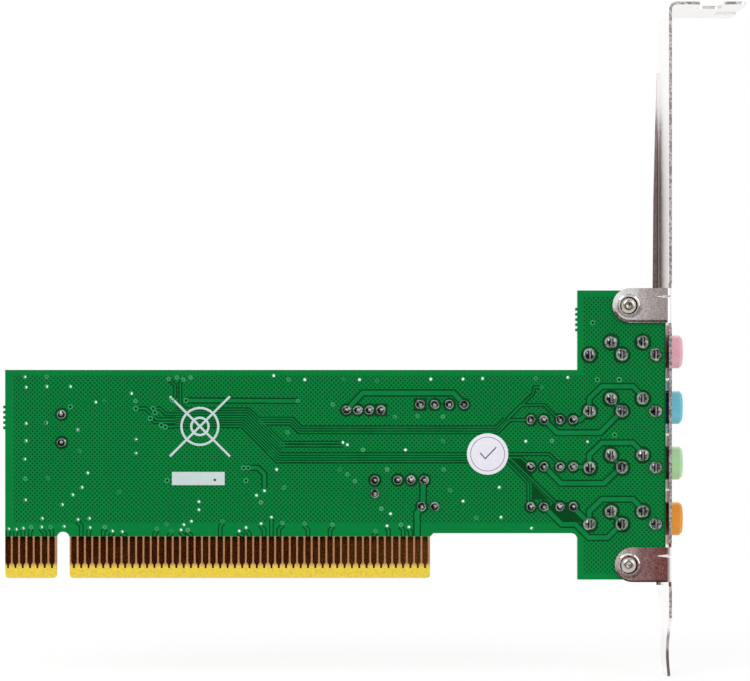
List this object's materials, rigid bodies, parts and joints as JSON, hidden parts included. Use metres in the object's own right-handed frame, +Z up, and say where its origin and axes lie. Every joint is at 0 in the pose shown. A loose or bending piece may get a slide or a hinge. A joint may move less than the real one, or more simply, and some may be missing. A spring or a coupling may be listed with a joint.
{
  "type": "pci sound card",
  "caption": "Short add-in sound card: green circuit board with a keyed edge connector, coloured audio jacks and a folded steel slot bracket.",
  "frame": {"origin": "middle of the edge connector's contact row, on its insertion edge and half way through the board", "axes": "+X along the contacts towards the bracket, +Y from the solder side to the component side, +Z up out of the slot"},
  "size_m": [0.1291, 0.0222, 0.1176],
  "materials": {
    "board_laminate": "green solder mask over glass laminate",
    "contact_gold": "gold plate",
    "bracket_steel": "bright zinc plate",
    "screw_steel": "bright zinc plate",
    "microphone_plastic": "satin",
    "line_in_plastic": "satin",
    "line_out_plastic": "satin",
    "rear_out_plastic": "satin",
    "tinned_metal": "tin plate",
    "capacitor_sleeve": "shrink sleeve",
    "crystal_metal": "satin nickel",
    "black_moulding": "moulded epoxy",
    "header_plastic": "natural nylon",
    "chip_ceramic": "fired ceramic",
    "chip_black": "glass coat",
    "solder": "bright solder",
    "sticker_paper": "coated paper"
  },
  "bodies": {
    "root": {"circuit_board": "board_laminate", "solder_side_contacts": "contact_gold", "component_side_contacts": "contact_gold", "bracket": "bracket_steel", "bracket_screws": "screw_steel", "rear_out_jack_housing": "rear_out_plastic", "rear_out_jack_contacts": "tinned_metal", "line_out_jack_housing": "line_out_plastic", "line_out_jack_contacts": "tinned_metal", "line_in_jack_housing": "line_in_plastic", "line_in_jack_contacts": "tinned_metal", "microphone_jack_housing": "microphone_plastic", "microphone_jack_contacts": "tinned_metal", "coupling_capacitor_1": "capacitor_sleeve", "coupling_capacitor_2": "capacitor_sleeve", "coupling_capacitor_3": "capacitor_sleeve", "coupling_capacitor_4": "capacitor_sleeve", "coupling_capacitor_5": "capacitor_sleeve", "coupling_capacitor_6": "capacitor_sleeve", "input_capacitor": "capacitor_sleeve", "output_capacitor": "capacitor_sleeve", "capacitor_leads": "tinned_metal", "crystal_base": "crystal_metal", "crystal_can": "crystal_metal", "crystal_leads": "tinned_metal", "regulator_body": "black_moulding", "regulator_leads": "tinned_metal", "small_header_shroud": "header_plastic", "small_header_pins": "tinned_metal", "large_header_shroud": "header_plastic", "large_header_pins": "tinned_metal", "audio_controller": "black_moulding", "audio_controller_leads": "tinned_metal", "chip_capacitors": "chip_ceramic", "chip_resistors": "chip_black", "chip_end_caps": "tinned_metal", "jack_solder_joints": "solder", "lead_solder_joints": "solder", "inspection_sticker": "sticker_paper"}
  },
  "joints": []
}
